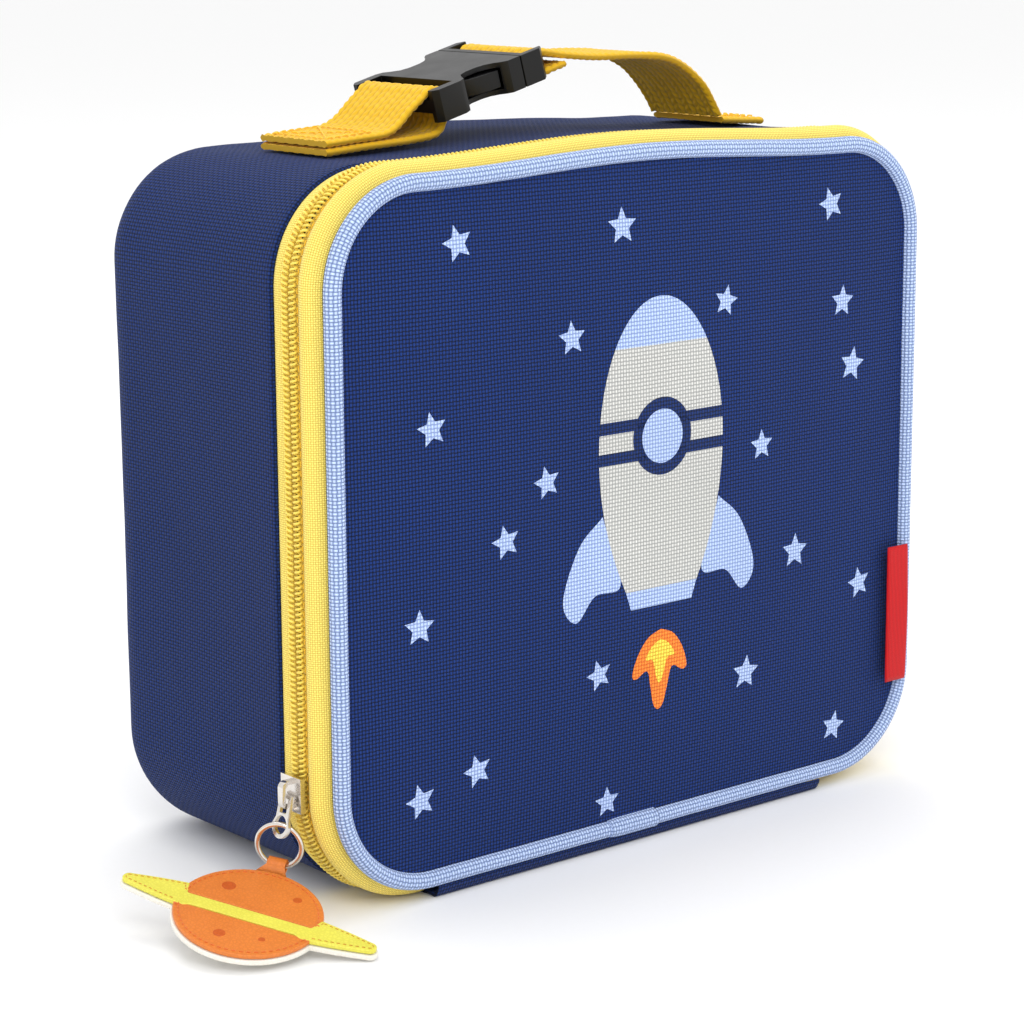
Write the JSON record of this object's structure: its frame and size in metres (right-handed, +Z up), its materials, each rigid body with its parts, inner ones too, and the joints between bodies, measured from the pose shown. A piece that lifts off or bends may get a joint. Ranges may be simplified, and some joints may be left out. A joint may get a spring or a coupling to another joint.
{
  "type": "insulated lunch bag",
  "caption": "Child's soft insulated lunch bag with a zipped fold-down lid, webbing handle with side-release buckle, piping and a planet charm on the zip pull.",
  "frame": {"origin": "middle of the case's flat base, on the surface that the bag stands on", "axes": "+Z up, the zipped lid faces -Y, +X is the lid's right-hand side as seen from in front"},
  "size_m": [0.2791, 0.1396, 0.2339],
  "materials": {
    "navy_fabric": "woven navy polyester with a fine dotted weave, matt",
    "printed_fabric": null,
    "foam": "closed-cell foam sheet, plain",
    "silver_liner": "wipe-clean silver-grey coated lining, slight sheen",
    "mesh_fabric": "open knitted mesh",
    "piping_fabric": "light blue grosgrain",
    "piping_filler": "twisted cotton cord",
    "zip_tape": "yellow woven zip tape",
    "zip_coil": "yellow nylon coil",
    "zip_metal": "polished die-cast metal",
    "webbing": "golden yellow coarse webbing",
    "buckle_plastic": "satin black moulded plastic",
    "charm_orange": "orange coated leather, stitched",
    "charm_lime": "yellow-green coated leather, stitched",
    "charm_cream": "cream coated leather backing",
    "red_label": "plain red woven tab",
    "cream_label": "plain cream name tape"
  },
  "bodies": {
    "case": {"gusset_fabric": "navy_fabric", "back_panel": "navy_fabric", "gusset_foam": "foam", "back_foam": "foam", "gusset_liner": "silver_liner", "back_liner": "silver_liner", "case_binding": "navy_fabric", "name_label": "cream_label", "hinge_flap": "navy_fabric", "zip_tape_case": "zip_tape", "zip_coil_case": "zip_coil", "zip_stop_left": "zip_metal", "zip_stop_right": "zip_metal", "strap_left": "webbing", "anchor_right": "webbing", "buckle_socket": "buckle_plastic"},
    "lid": {"zip_tape_lid": "zip_tape", "zip_coil_lid": "zip_coil", "piping_cover": "piping_fabric", "piping_cord": "piping_filler", "front_panel": "printed_fabric", "front_foam": "foam", "front_liner": "silver_liner", "lid_binding": "navy_fabric", "mesh_pocket": "mesh_fabric", "pocket_binding": "navy_fabric", "side_label": "red_label"},
    "slider": {"slider_body": "zip_metal"},
    "link": {"pull_link": "zip_metal"},
    "ring": {"pull_ring": "zip_metal"},
    "charm": {"charm_backing": "charm_cream", "charm_ring": "charm_lime", "charm_disc_upper": "charm_orange", "charm_disc_lower": "charm_orange", "charm_tab": "charm_orange"},
    "plug": {"buckle_plug": "buckle_plastic", "strap_right": "webbing"},
    "front_prong": {"prong_front": "buckle_plastic"},
    "back_prong": {"prong_back": "buckle_plastic"}
  },
  "joints": [
    {"name": "lid_hinge", "type": "hinge", "parent": "case", "child": "lid", "pos_m": [0, -0.057, 0.0057], "axis": [1, 0, 0], "range_deg": [0, 90]},
    {"name": "zip_slide", "type": "slide", "parent": "case", "child": "slider", "axis": [0, 0, 1], "range_m": [0, 0.12]},
    {"name": "pull_swing", "type": "hinge", "parent": "slider", "child": "link", "pos_m": [-0.1192, -0.0424, 0.0349], "axis": [0, 1, 0], "range_deg": [0, 45]},
    {"name": "ring_swing", "type": "hinge", "parent": "link", "child": "ring", "pos_m": [-0.12127, -0.0424, 0.02717], "axis": [-0.6148, 0.7702, 0.1699], "range_deg": [-5, 20]},
    {"name": "charm_swing", "type": "hinge", "parent": "ring", "child": "charm", "pos_m": [-0.12119, -0.03958, 0.01469], "axis": [-0.6148, 0.7702, 0.1699], "range_deg": [-20, 20]},
    {"name": "buckle_release", "type": "slide", "parent": "case", "child": "plug", "axis": [0.9659, 0, 0.2588], "range_m": [0, 0.024]},
    {"name": "front_squeeze", "type": "hinge", "parent": "plug", "child": "front_prong", "pos_m": [-0.01375, -0.0077, 0.22677], "axis": [0.2588, 0, -0.9659], "range_deg": [0, 6], "stiffness_Nm_per_rad": 0.5},
    {"name": "back_squeeze", "type": "hinge", "parent": "plug", "child": "back_prong", "pos_m": [-0.01375, 0.0077, 0.22677], "axis": [-0.2588, 0, 0.9659], "range_deg": [0, 6], "stiffness_Nm_per_rad": 0.5}
  ]
}
